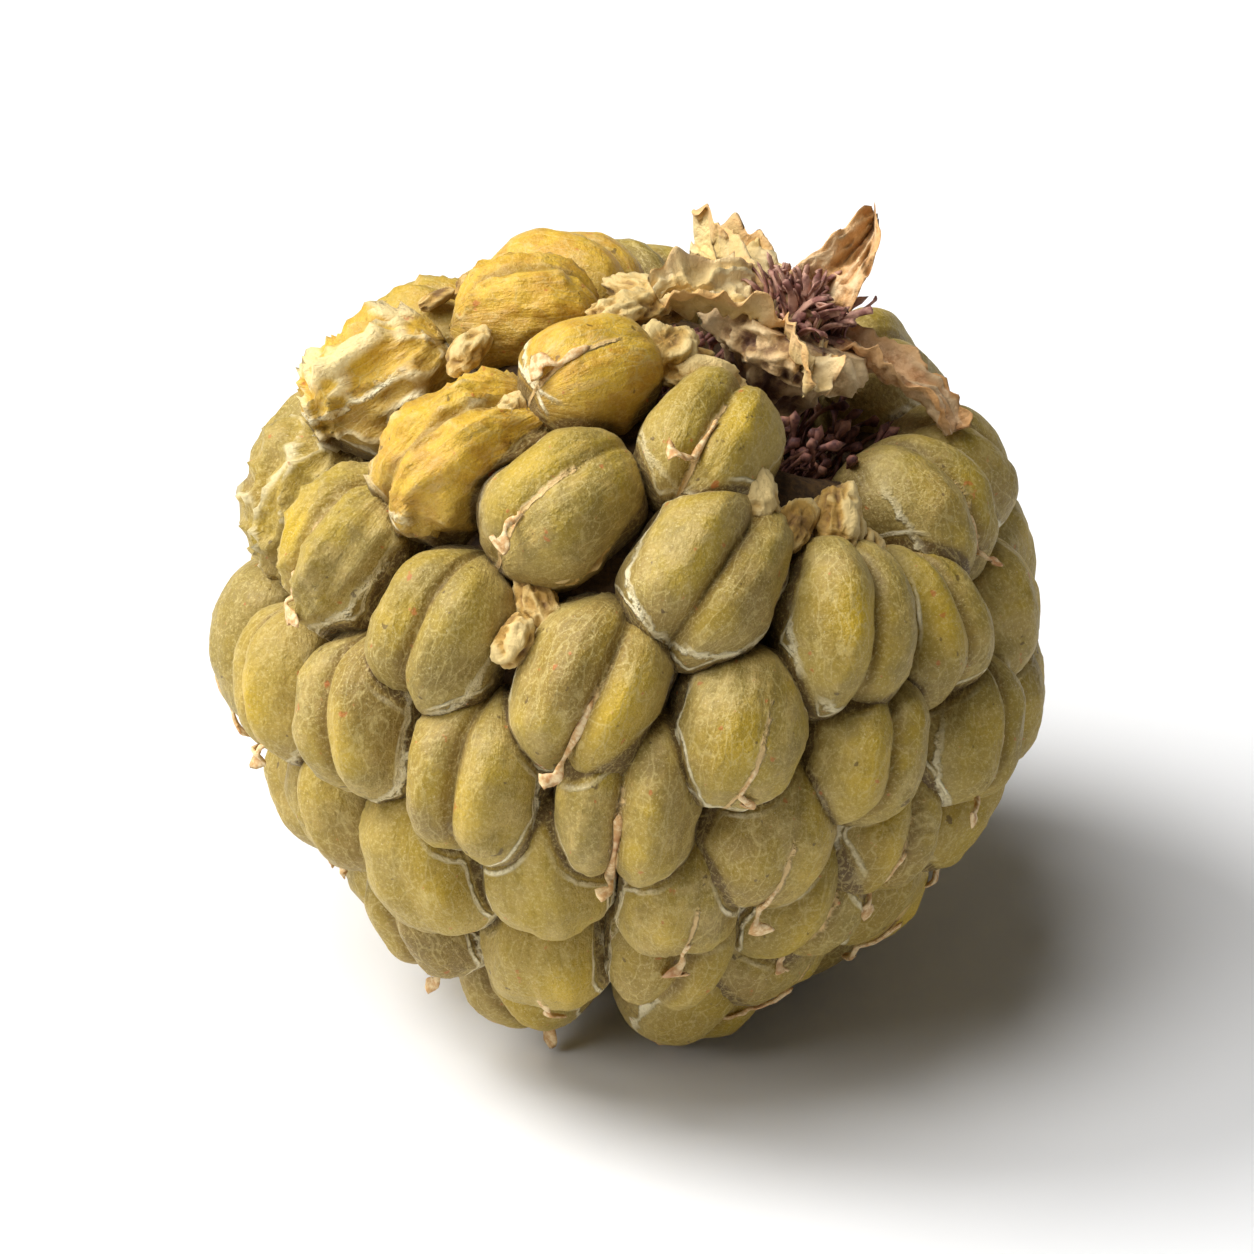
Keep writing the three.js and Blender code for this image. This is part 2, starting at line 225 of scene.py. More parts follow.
def strandShell(path, sideWay, widths, thicknesses, sides=8):
    # a tapered strand along a path of points, wide across sideWay, with an end point at both ends
    path = np.asarray(path)
    ahead = np.gradient(path, axis=0)
    ahead /= np.linalg.norm(ahead, axis=1, keepdims=True)
    side = np.asarray(sideWay, dtype=float)
    across = side - ahead * (ahead @ side)[:, None]
    across /= np.linalg.norm(across, axis=1, keepdims=True)
    up = np.cross(ahead, across)
    turn = np.linspace(0, 2 * math.pi, sides, endpoint=False)
    rings = [path[:1]]
    for k in range(1, len(path) - 1):
        wide = np.outer(np.cos(turn) * widths[k] / 2, across[k])
        deep = np.outer(np.sin(turn) * thicknesses[k] / 2, up[k])
        rings.append(path[k] + wide + deep)
    rings.append(path[-1:])
    return np.concatenate(rings), ringFaces(len(path) - 2, sides)


# One drupelet, with what varies from one to the next drawn by the looks' own draw
drupelet = {
    "width": 2.06,
    "length": 2.31,
    "depth": 2.08,
    "sink": 0.88,
    "tipTilt": 9,  # degrees, its tip end raised over the next row
    "beak": 0.056,  # how far the tip end is drawn out
    "roundness": 2.5,  # 2 is an ellipse from above, more is fuller at both ends
    "heartShape": (-0.08, 0.16),  # least and most narrowing towards the tip
    "reach": 3.2,  # drupelets further apart than this don't meet
    "cleftDepth": 0.4,
    "cleftSwing": 0.12,  # how far the cleft strays from the middle, a share of the half width, as below
    "slitWidth": 0.055,
    "valleyWidth": 0.26,
    "lobeHeight": 0.08,
    "lobeMiddle": 0.45,
    "lobeWidth": 0.28,
    "notch": 0.13,  # how far the cleft cuts into the tip end
    "notchWidth": 0.2,
    "lopsided": 0.05,
    "dents": 0.07,
    "wrinkles": 0.02,
    "creaseDepth": 0.05,  # how far the skin draws in where two drupelets meet
    "creaseWidth": 0.05,
    "shoulder": 0.09,  # how far it rounds off on the way there
    "shoulderWidth": 0.5,
    "sideSteps": 51,
    "ringSteps": 38,
}
collapse = {"sunk": 0.24, "creases": 0.16, "folds": 0.2, "dents": 0.12}  # of a withered drupelet
looksSeed = 417


def drupeletGrid():
    # angles round the length, closest together at the cleft and few underneath
    share = np.linspace(-1, 1, drupelet["sideSteps"])
    seen = 118 * np.sign(share) * np.abs(share) ** 1.25
    angles = np.radians(np.concatenate([seen, [150, 180, 210]]))
    stations = np.sin(np.radians(np.linspace(-81, 81, drupelet["ringSteps"])))
    angle, along = np.meshgrid(angles, stations)
    angle = np.concatenate([[0], angle.ravel(), [0]])
    along = np.concatenate([[-1], along.ravel(), [1]])
    return angle, along, ringFaces(len(stations), len(angles))


sideAngle, alongShare, drupeletFaces = drupeletGrid()


def girthAt(along):
    return (1 - np.abs(along) ** drupelet["roundness"]) ** (1 / drupelet["roundness"])


girthShare = girthAt(alongShare)


def halfSizes(one):
    return (drupelet[name] / 2 * one["size"] for name in ("width", "length", "depth"))


def plainShape(one):
    halfWidth, halfLength, halfDepth = halfSizes(one)
    x = halfWidth * girthShare * np.sin(sideAngle) * (1 - one["heart"] * alongShare)
    y = halfLength * alongShare + drupelet["beak"] * one["size"] * smooth(0.88, 1, alongShare)
    z = halfDepth * girthShare * np.cos(sideAngle)
    return np.stack([x, y, z], axis=1)


def gatherDrupelets():
    # the same draws in the same order as the solid's
    draws = Draws(head["drawSeed"])
    looks = np.random.default_rng(looksSeed)
    spread = head["spread"]
    swing = drupelet["cleftSwing"]
    downWay = Vector((0, 0, -1))
    found = []
    for rowIndex, row in enumerate(head["rows"]):
        spacing = 360 / row["count"]
        for i in range(row["count"]):
            azimuth = row["start"] + spacing * (i + spread["azimuth"] * draws.next())
            polar = row["polar"] + spread["polar"] * draws.next()
            size = row["size"] * (1 + spread["size"] * draws.next())
            twist = spread["twist"] * draws.next()
            height = spread["height"] * draws.next()
            fromGap = abs((azimuth - head["rowGap"]["azimuth"] + 180) % 360 - 180)
            if rowIndex == head["rowGap"]["row"] and fromGap < spacing / 2:
                continue
            across, along, outward = surfaceAxes(polar, azimuth)
            twisted = Quaternion(outward, math.radians(twist))
            across.rotate(twisted)
            along.rotate(twisted)
            tilted = Quaternion(across, math.radians(drupelet["tipTilt"]))
            along.rotate(tilted)
            outward.rotate(tilted)
            middle = headPoint(polar, azimuth, drupelet["sink"] * size - height)
            way = middle.normalized()
            one = {
                "row": rowIndex,
                "axes": np.array([across, along, outward]),
                "middle": np.array(middle),
                "size": size,
                "resting": math.degrees(way.angle(downWay)) < head["resting"]["spread"],
                "golden": patchWeight(way, head["golden"]),
                "withered": patchWeight(way, head["withered"]),
                "tone": looks.uniform(-1, 1),
                "cleft": float(smooth(0.05, 0.6, looks.uniform(0, 1))),
                "cleftShift": looks.uniform(-swing, swing),
                "cleftBend": looks.uniform(-swing, swing),
                "spot": looks.uniform(0, 1),
                "rim": looks.uniform(0, 1),
                "thread": looks.uniform(0, 1),
                "lopsided": looks.uniform(-1, 1),
                "heart": looks.uniform(*drupelet["heartShape"]),
                "seed": int(looks.integers(1, 9999)),
                "style": looks.uniform(-1, 1, 8),
            }
            if one["resting"]:
                lowest = (plainShape(one) @ one["axes"] + one["middle"])[:, 2].min()
                one["middle"][2] += -head["centreHeight"] - head["resting"]["flat"] - lowest
            found.append(one)
    return found


def distanceFrom(one, points):
    # about how far outside a drupelet the points are; less than nothing inside it
    halfWidth, halfLength, halfDepth = halfSizes(one)
    local = (points - one["middle"]) @ one["axes"].T
    round2 = (local[:, 0] / halfWidth) ** 2 + (local[:, 2] / halfDepth) ** 2
    power = drupelet["roundness"]
    reach = (round2 ** (power / 2) + np.abs(local[:, 1] / halfLength) ** power) ** (1 / power)
    return (reach - 1) * (halfWidth + halfDepth) / 2


def gapToOthers(one, points):
    nearest = np.full(len(points), 1.0)
    for other in allDrupelets:
        if other is not one and np.linalg.norm(other["middle"] - one["middle"]) < drupelet["reach"]:
            nearest = np.minimum(nearest, distanceFrom(other, points))
    return nearest


def cleftLine(one, along):
    return one["cleftShift"] + one["cleftBend"] * along


def grooveDepth(one, fromCleft, along):
    slit = np.exp(-(np.abs(fromCleft) / drupelet["slitWidth"]) ** 1.5)
    valley = np.exp(-(np.abs(fromCleft) / drupelet["valleyWidth"]) ** 1.7)
    depth = drupelet["cleftDepth"] * one["size"] * one["cleft"] * (1 - 0.55 * one["withered"])
    return depth * (0.7 + 0.3 * along ** 2) * (0.45 * slit + 0.55 * valley)


def shapeLobes(one, local, fromCleft, upper):
    # sinks the cleft, raises a lobe on both sides of it and notches the tip end between them
    size = one["size"]
    lobes = np.exp(-((np.abs(fromCleft) - drupelet["lobeMiddle"]) / drupelet["lobeWidth"]) ** 2)
    lobes = lobes * (1 - alongShare ** 2)
    notched = np.exp(-(fromCleft / drupelet["notchWidth"]) ** 2) * smooth(0.45, 1, alongShare)
    notched = notched * (0.4 + 0.6 * one["cleft"])
    local[:, 2] -= grooveDepth(one, fromCleft, alongShare) * upper
    local[:, 2] += drupelet["lobeHeight"] * size * lobes * upper
    local[:, 1] -= drupelet["notch"] * size * notched * upper


def skinFolds(one, local, share):
    seed = one["seed"]
    own = local + seed % 97
    lengthways = np.stack([share * 6 + seed % 89, alongShare * 1.1, np.zeros(len(share))], axis=1)
    return {
        "dents": noise(own, 1.1, seed) + 0.5 * noise(own, 2.6, seed + 1),
        "wrinkles": ridges(lengthways, 1.9, seed + 2) + 0.7 * noise(own, 7, seed + 3),
        "creases": np.maximum(ridges(own * [1.7, 0.6, 1.7], 1.3, seed + 4), 0) ** 4,
        "folds": np.maximum(ridges(own * [1.4, 0.6, 1.4], 2.9, seed + 7), 0) ** 3,
        "rim": smooth(-0.5, 0.15, noise(own, 1.3, seed + 6) + one["rim"] - 0.5),
    }


def skinLift(one, skin, fromCleft, gap, upper):
    # how far the skin stands above or below its plain shape
    withered = one["withered"]
    lift = drupelet["dents"] * skin["dents"]
    lift = lift + drupelet["wrinkles"] * skin["wrinkles"] * (1 + 1.2 * withered)
    lift = lift + drupelet["lopsided"] * one["lopsided"] * np.tanh(4 * fromCleft) * upper
    fallen = collapse["creases"] * skin["creases"] + collapse["folds"] * skin["folds"]
    fallen = fallen + collapse["dents"] * skin["dents"] - collapse["sunk"]
    crease = np.exp(-(np.maximum(gap, 0) / drupelet["creaseWidth"]) ** 2)
    shoulder = 1 - smooth(0, drupelet["shoulderWidth"], gap)
    # the tip end lies over the next row, so it stays full
    drawnIn = 1 - 0.8 * smooth(0.05, 0.6, alongShare)
    drop = drawnIn * (drupelet["creaseDepth"] * crease + drupelet["shoulder"] * shoulder)
    return lift + withered * fallen - drop


def drupeletShell(one):
    local = plainShape(one)
    gap = gapToOthers(one, local @ one["axes"] + one["middle"])
    upper = smooth(-0.1, 0.3, np.cos(sideAngle))
    share = np.sin(sideAngle) * np.maximum(girthShare, 0.2)
    fromCleft = share - cleftLine(one, alongShare) * girthShare
    shapeLobes(one, local, fromCleft, upper)
    skin = skinFolds(one, local, share)
    lift = skinLift(one, skin, fromCleft, gap, upper) * one["size"]
    outward = np.stack([np.sin(sideAngle), 0.25 * alongShare, np.cos(sideAngle)], axis=1)
    world = (local + outward * lift[:, None]) @ one["axes"] + one["middle"]
    fromSpot = fromCleft + 0.35 * np.sign(one["tone"])  # a pale spot on one lobe
    values = {
        "tone": one["tone"],
        "golden": one["golden"],
        "withered": one["withered"],
        "side": sideAngle,
        "along": alongShare,
        "fromCleft": fromCleft,
        "gap": gap,
        "cleftMask": one["cleft"],
        "threadMask": one["thread"],
        "rimMask": skin["rim"],
        "creaseMask": np.clip(one["withered"] * (skin["creases"] + 0.6 * skin["folds"]), 0, 1),
        "spotMask": np.exp(-fromSpot ** 2 / 0.1 - (alongShare - 0.1) ** 2 / 0.16) * one["spot"],
        "exposed": np.clip(np.cos(sideAngle) * girthShare, -1, 1),
    }
    return world, values


allDrupelets = gatherDrupelets()
print("drupelets placed", len(allDrupelets))


# Shader maths: a wire is one output socket
class Wire:
    def __init__(self, finish, socket):
        self.finish = finish
        self.socket = socket

    def worked(self, operation, first, second=0.0):
        return self.finish.add("ShaderNodeMath", {"operation": operation}, {0: first, 1: second})

    def __add__(self, other):
        return self.worked("ADD", self, other)

    def __radd__(self, other):
        return self.worked("ADD", other, self)

    def __sub__(self, other):
        return self.worked("SUBTRACT", self, other)

    def __rsub__(self, other):
        return self.worked("SUBTRACT", other, self)

    def __mul__(self, other):
        return self.worked("MULTIPLY", self, other)

    def __rmul__(self, other):
        return self.worked("MULTIPLY", other, self)

    def between(self, low, high):
        # 0 below low, 1 above high, smooth between them
        settings = {"interpolation_type": "SMOOTHSTEP"}
        return self.finish.add("ShaderNodeMapRange", settings, {0: self, 1: low, 2: high, 3: 0.0, 4: 1.0})

    def size(self):
        return self.worked("ABSOLUTE", self)


class Finish:
    # one material, made of nodes
    def __init__(self, name):
        self.material = bpy.data.materials.new(name)
        self.material.use_nodes = True
        self.tree = self.material.node_tree
        self.tree.nodes.clear()
        coordinates = self.add("ShaderNodeTexCoord", {}, {}, "Object")
        self.place = self.scaled(coordinates, 1 / mm)  # the place on the piece, in millimetres

    def add(self, kind, settings, links, output=0):
        node = self.tree.nodes.new(kind)
        for name, value in settings.items():
            setattr(node, name, value)
        for key, value in links.items():
            if isinstance(value, Wire):
                self.tree.links.new(value.socket, node.inputs[key])
            else:
                node.inputs[key].default_value = value
        return Wire(self, node.outputs[output])

    def scaled(self, vector, share):
        return self.add("ShaderNodeVectorMath", {"operation": "SCALE"}, {0: vector, "Scale": share})

    def noise(self, scale, detail=3.0, roughness=0.55, place=None):
        links = {"Vector": place or self.place, "Scale": scale, "Detail": detail, "Roughness": roughness}
        return self.add("ShaderNodeTexNoise", {}, links, "Fac")

    def value(self, name):
        return self.add("ShaderNodeAttribute", {"attribute_name": name}, {}, "Fac")

    def blend(self, factor, first, second):
        settings = {"data_type": "RGBA", "clamp_factor": True}
        return self.add("ShaderNodeMix", settings, {0: factor, 6: first, 7: second}, 2)

    def bump(self, height, strength, distance, below=None):
        links = {"Height": height, "Strength": strength, "Distance": distance}
        if below:
            links["Normal"] = below
        return self.add("ShaderNodeBump", {}, links)

    def finished(self, links):
        shader = self.add("ShaderNodeBsdfPrincipled", {}, links)
        output = self.tree.nodes.new("ShaderNodeOutputMaterial")
        self.tree.links.new(shader.socket, output.inputs["Surface"])
        return self.material


def colour(red, green, blue):
    # from the 0 to 255 values of a picture to linear light
    def linear(value):
        share = value / 255
        return share / 12.92 if share <= 0.04045 else ((share + 0.055) / 1.055) ** 2.4
    return (linear(red), linear(green), linear(blue), 1)


skinTones = {
    "olive": colour(146, 124, 52),
    "khaki": colour(176, 150, 80),
    "yellowGreen": colour(170, 142, 28),
    "yellowSpot": colour(204, 168, 26),
    # brown is the skin's own darker tone and also the painted shade on the flanks, in the valleys and in the
    # cleft
    "brown": colour(112, 84, 36),
    # shade is a painted shade for the valleys where drupelets meet
    "shade": colour(82, 58, 26),
    "golden": colour(214, 172, 50),
    "amber": colour(192, 144, 36),
    "down": colour(208, 187, 120),
    "cream": colour(248, 236, 194),
    "straw": colour(226, 190, 128),
    "rust": colour(184, 92, 36),
    "dark": colour(70, 44, 24),
}


def skinFinish():
    finish = Finish("drupelet_skin")
    tone = finish.value("tone")
    golden = finish.value("golden")
    withered = finish.value("withered")
    exposed = finish.value("exposed")
    gap = finish.value("gap")
    along = finish.value("along")
    fromCleft = finish.value("fromCleft")
    cleft = finish.value("cleftMask")
    thread = finish.value("threadMask")
    own = {"X": finish.value("side") * 2.2, "Y": along * 0.8, "Z": tone * 40.0}
    lengthways = finish.add("ShaderNodeCombineXYZ", {}, own)
    streaks = finish.noise(3.4, 4, 0.6, lengthways)
    broad = finish.noise(0.55, 2)
    mottles = finish.noise(3.2, 5, 0.6)
    blotches = finish.noise(1.5, 4, 0.6)
    grain = finish.noise(22, 4, 0.75)
    specks = finish.noise(38, 2, 0.5)
    wobble = finish.noise(5.5, 3, 0.6)
    flecks = finish.noise(5.5, 2, 0.5)

    # a fine net of dry wrinkles, drawn out along the drupelet
    swirlLinks = {"Vector": finish.place, "Scale": 2.4, "Detail": 1.0}
    swirl = finish.add("ShaderNodeTexNoise", {}, swirlLinks, "Color")
    swirl = finish.scaled(swirl, 0.55)
    swept = finish.add("ShaderNodeVectorMath", {"operation": "ADD"}, {0: lengthways, 1: swirl})
    cellLinks = {"Vector": swept, "Scale": 2.3}
    cells = finish.add("ShaderNodeTexVoronoi", {"feature": "DISTANCE_TO_EDGE"}, cellLinks, "Distance")
    net = (1 - cells.between(0.008, 0.055)) * broad.between(0.3, 0.6)

    # the skin's own colour, from olive to golden, and last a painted shade on each drupelet's low flanks
    base = finish.blend((mottles + tone * 0.1).between(0.36, 0.66), skinTones["olive"], skinTones["khaki"])
    base = finish.blend(blotches.between(0.44, 0.62) * 0.75, base, skinTones["yellowGreen"])
    base = finish.blend((broad + tone * 0.08).between(0.48, 0.7) * 0.5, base, skinTones["brown"])
    base = finish.blend(tone.between(0.15, 0.95) * 0.5, base, skinTones["yellowGreen"])
    base = finish.blend((0 - tone).between(0.3, 0.95) * 0.35, base, skinTones["olive"])
    base = finish.blend(streaks.between(0.5, 0.72) * 0.12, base, skinTones["khaki"])
    ripe = finish.blend(mottles.between(0.4, 0.66), skinTones["golden"], skinTones["amber"])
    ripe = finish.blend(streaks.between(0.54, 0.68) * 0.35, ripe, skinTones["straw"])
    base = finish.blend((golden * 1.3 - 0.12 + (mottles - 0.5) * 0.8).between(0.1, 0.8), base, ripe)
    base = finish.blend(finish.value("spotMask") * (0.5 + 0.8 * mottles), base, skinTones["yellowSpot"])
    pale = (1 - exposed.between(0.25, 0.8)) * blotches.between(0.36, 0.56)
    base = finish.blend(pale * (1 - golden) * 0.42, base, skinTones["down"])
    # painted shade: brown on the flanks where each drupelet dips under its neighbours
    base = finish.blend((1 - exposed.between(0.0, 0.7)) * 0.5, base, skinTones["brown"])

    # painted shade where drupelets meet and in the cleft, then the pale down
    edge = gap + (wobble - 0.5) * 0.06
    base = finish.blend((1 - edge.between(-0.02, 0.1)) * 0.4, base, skinTones["brown"])
    base = finish.blend((1 - edge.between(-0.03, 0.03)) * 0.75, base, skinTones["shade"])
    # painted shade: brown down the cleft
    cleftShade = 1 - fromCleft.size().between(0.02, 0.16)
    base = finish.blend(cleftShade * cleft * 0.55, base, skinTones["brown"])
    base = finish.blend(net * 0.36, base, skinTones["down"])
    base = finish.blend(grain.between(0.5, 0.64) * (0.5 - golden * 0.28), base, skinTones["down"])
    base = finish.blend((1 - grain).between(0.52, 0.7) * 0.3, base, skinTones["brown"])
    base = finish.blend(specks.between(0.66, 0.76) * 0.35, base, skinTones["cream"])

    # cream lines round the tip end, on the folds and along the cleft
    rimLine = 1 - (edge - 0.066).size().between(0.01, 0.038)
    hem = 1 - (exposed - 0.34 + (wobble - 0.5) * 0.3).size().between(0.02, 0.075)
    rimLine = rimLine.worked("MAXIMUM", rimLine, hem * 0.9)
    rimLine = rimLine * finish.value("rimMask") * (wobble.between(0.35, 0.6) * 0.6 + 0.4)
    rimLine = rimLine * along.between(-0.7, 0.0)
    base = finish.blend(rimLine, base, skinTones["cream"])
    base = finish.blend(finish.value("creaseMask").between(0.45, 0.85) * 0.45, base, skinTones["cream"])
    threadLine = 1 - (fromCleft + (wobble - 0.5) * 0.12).size().between(0.02, 0.055)
    threadLine = threadLine * (along + (wobble - 0.5) * 1.2).between(-0.3, 0.0) * thread.between(0.3, 0.6)
    base = finish.blend(threadLine * 0.9, base, skinTones["straw"])
    base = finish.blend(flecks.between(0.7, 0.75) * 0.6, base, skinTones["rust"])
    base = finish.blend((1 - flecks).between(0.71, 0.75) * 0.6, base, skinTones["dark"])

    rough = finish.bump(finish.noise(9, 4, 0.7), 0.5, 0.07 * mm)
    drawn = finish.bump(streaks * (withered * 0.6 + 0.4), 0.6, 0.1 * mm, rough)
    normal = finish.bump(rimLine + threadLine, 0.8, 0.05 * mm, drawn)
    return finish.finished({
        "Base Color": base,
        "Roughness": grain * 0.25 + 0.4,
        "Normal": normal,
        "Specular IOR Level": 0.42,
        "Sheen Weight": 0.12,
        "Sheen Roughness": 0.45,
        "Sheen Tint": skinTones["cream"],
    })


def buildHead(finish):
    rowsOf = {"drupeletsBase": (0, 1, 2), "drupeletsMiddle": (3, 4), "drupeletsTip": (5, 6)}
    for name, rows in rowsOf.items():
        build = Build()
        for one in allDrupelets:
            if one["row"] in rows:
                points, values = drupeletShell(one)
                build.add(points, drupeletFaces, values)
        build.piece(name, finish, "drupelets", "drupelet_skin")


# The core under the drupelets, sunk in at the base as a hollow; its brown is the tissue's own, deepened into
# painted shade for the gaps
core = {
    "depth": 1.02,  # below the drupelet tops
    "floor": 2.78,  # radius of the hollow's floor
    "hollowPolar": 24,
    "roughness": 0.05,
    "rings": 60,
    "sides": 90,
    # the dark tone is painted shade for the gaps between drupelets, the light tone the tissue's own brown
    "dark": colour(62, 43, 22),
    "light": colour(108, 80, 42),
}


def coreFinish():
    finish = Finish("core_tissue_and_shade")
    fibres = finish.noise(7, 5, 0.65)
    # fibres mixed from the painted shade tone and the tissue's own brown
    tint = finish.blend(fibres.between(0.35, 0.7), core["dark"], core["light"])
    return finish.finished({
        "Base Color": tint,
        "Roughness": fibres * 0.2 + 0.7,
        "Normal": finish.bump(fibres, 0.6, 0.1 * mm),
    })


def buildCore(finish):
    rings = []
    polars = np.linspace(3, 177, core["rings"])
    for polar in polars:
        inHollow = 1 - float(smooth(core["hollowPolar"] - 3, core["hollowPolar"] + 4, polar))
        for k in range(core["sides"]):
            azimuth = -360 / core["sides"] * k
            outer = headPoint(polar, azimuth, core["depth"])
            sunk = direction(polar, azimuth) * core["floor"]
            rings.append(outer.lerp(sunk, inHollow))
    points = np.array([direction(0, 0) * core["floor"], *rings, headPoint(180, 0, core["depth"])])
    outward = points / np.linalg.norm(points, axis=1, keepdims=True)
    points += core["roughness"] * noise(points, 2.2, 31)[:, None] * outward
    build = Build()
    build.add(points, ringFaces(core["rings"], core["sides"]), {})
    build.piece("headCore", finish, "drupelets", "drupelet_skin")


# A dry style from the lower half of each cleft, hanging over the tip, flared at its free end
style = {
    "width": 0.11,
    "thickness": 0.06,
    "steps": 22,
    "start": 0.3,  # along the drupelet, from 0 at its middle to 1 at its tip
    "leaves": 0.74,
    "reach": 0.4,
    "flare": 0.28,
    "missing": 0.3,  # share of the drupelets that have lost theirs
    "cream": colour(234, 208, 158),
    "tan": colour(200, 152, 92),
    "rust": colour(160, 92, 46),
}


def styleFinish():
    finish = Finish("dry_style")
    streaks = finish.noise(12, 4, 0.6)
    tint = finish.blend(streaks.between(0.35, 0.65), style["cream"], style["tan"])
    tint = finish.blend(finish.noise(3, 2).between(0.55, 0.7) * 0.6, tint, style["rust"])
    return finish.finished({
        "Base Color": tint,
        "Roughness": streaks * 0.2 + 0.55,
        "Normal": finish.bump(streaks, 0.5, 0.03 * mm),
    })


def stylePath(one, share):
    # down the cleft on the skin for the first two fifths, then out over the tip
    onSkin = np.minimum(share / 0.4, 1)
    beyond = np.maximum(share - 0.4, 0) / 0.6
    lengthDraw, bendDraw, sideDraw, waveDraw, startDraw, widthDraw, flareDraw, riseDraw = one["style"]
    halfWidth, halfLength, halfDepth = halfSizes(one)
    start = style["start"] + 0.35 * startDraw
    along = start + (style["leaves"] - start) * onSkin
    girth = girthAt(along)
    reach = style["reach"] * one["size"] * (1 + 0.5 * lengthDraw)
    wave = 0.05 * np.sin(share * 11 + 4 * waveDraw) * (0.3 + beyond)
    x = cleftLine(one, along) * girth * halfWidth + beyond ** 1.5 * 0.3 * sideDraw + wave
    y = halfLength * along + reach * beyond * (1 - 0.25 * beyond)
    z = halfDepth * girth - grooveDepth(one, wave, along) * (1 - beyond) * 0.8 + 0.02
    z = z - 0.12 * one["withered"] + reach * (0.04 + 0.14 * riseDraw) * beyond
    z = z + (0.1 * bendDraw - 0.14) * beyond ** 2 + 0.04 * np.cos(share * 9 + 5 * waveDraw) * beyond
    flare = smooth(0.3, 0.85, beyond) * style["flare"] * (0.6 + 0.5 * flareDraw)
    widths = style["width"] * (1 + 0.25 * widthDraw) * (0.75 + 0.3 * np.sin(share * 14 + 6 * flareDraw))
    return np.stack([x, y, z], axis=1) @ one["axes"] + one["middle"], widths + flare


def buildStyles(finish):
    build = Build()
    share = np.linspace(0, 1, style["steps"])
    thicknesses = np.full(style["steps"], style["thickness"])
    for one in allDrupelets:
        if one["resting"] or one["withered"] > 0.8 or one["thread"] < style["missing"]:
            continue
        path, widths = stylePath(one, share)
        across, along, outward = one["axes"]
        points, faces = strandShell(path, across, widths, thicknesses, 10)
        points = points + 0.03 * noise(points, 6, one["seed"])[:, None] * outward
        build.add(points, faces, {})
    build.piece("dryStyles", finish, "drupelets", "drupelet_skin")


# Drupelets that never filled, shrivelled in the gaps between the others
crumb = {
    "places": [  # polar, azimuth, radius, depth below the drupelet tops
        (41, 4, 0.36, 0.5),
        (44, 15, 0.3, 0.52),
        (40, 27, 0.34, 0.52),
        (46, 34, 0.26, 0.52),
        (54, -22, 0.26, 0.56),
        (62, -20, 0.26, 0.6),
        (72, -22, 0.3, 0.72),
        (51, -48, 0.26, 0.5),
        (97, -48, 0.22, 0.56),
        (111, -26, 0.2, 0.56),
        (94, -4, 0.18, 0.56),
        (69, 34, 0.24, 0.7),
        (25, -46, 0.38, 0.5),
        (27, -64, 0.36, 0.36),
        (23, -30, 0.34, 0.62),
        (21, -54, 0.34, 0.8),
        (25, -14, 0.28, 0.66),
        (22, -82, 0.34, 0.5),
    ],
    "drawn": 16,  # more of them, where the draw finds a gap
    "attempts": 4000,
    "polar": (44, 150),
    "radius": (0.16, 0.28),
    "depth": (0.34, 0.6),
    "lowest": 1.2,  # none lower than this above the surface
    "rings": 38,
    "sides": 48,
    "brown": colour(120, 84, 34),
    "tan": colour(198, 160, 84),
    "ochre": colour(190, 146, 58),
    "cream": colour(232, 210, 150),
}


def crumbFinish():
    finish = Finish("shrivelled_skin")
    creases = finish.noise(8, 5, 0.65)
    folds = finish.value("folds")
    tint = finish.blend((folds + creases - 0.5).between(-0.3, 0.5), crumb["brown"], crumb["tan"])
    tint = finish.blend(finish.noise(3, 3).between(0.42, 0.62) * 0.6, tint, crumb["ochre"])
    raised = (folds + (creases - 0.5) * 1.2).between(0.15, 0.75)
    tint = finish.blend(raised * 0.6, tint, crumb["cream"])
    return finish.finished({
        "Base Color": tint,
        "Roughness": creases * 0.2 + 0.55,
        "Normal": finish.bump(creases, 0.7, 0.07 * mm),
        "Sheen Weight": 0.2,
        "Sheen Tint": skinTones["cream"],
    })


def placeCrumbs(looks):
    places = list(crumb["places"])
    wanted = len(places) + crumb["drawn"]
    for attempt in range(crumb["attempts"]):
        polar = looks.uniform(*crumb["polar"])
        azimuth = looks.uniform(-180, 180)
        depth = looks.uniform(*crumb["depth"])
        at = headPoint(polar, azimuth, depth)
        clearance = min(float(distanceFrom(one, np.array([at]))[0]) for one in allDrupelets)
        if clearance > 0.02 and at.z + head["centreHeight"] > crumb["lowest"]:
            places.append((polar, azimuth, looks.uniform(*crumb["radius"]), depth))
        if len(places) == wanted:
            break
    return places


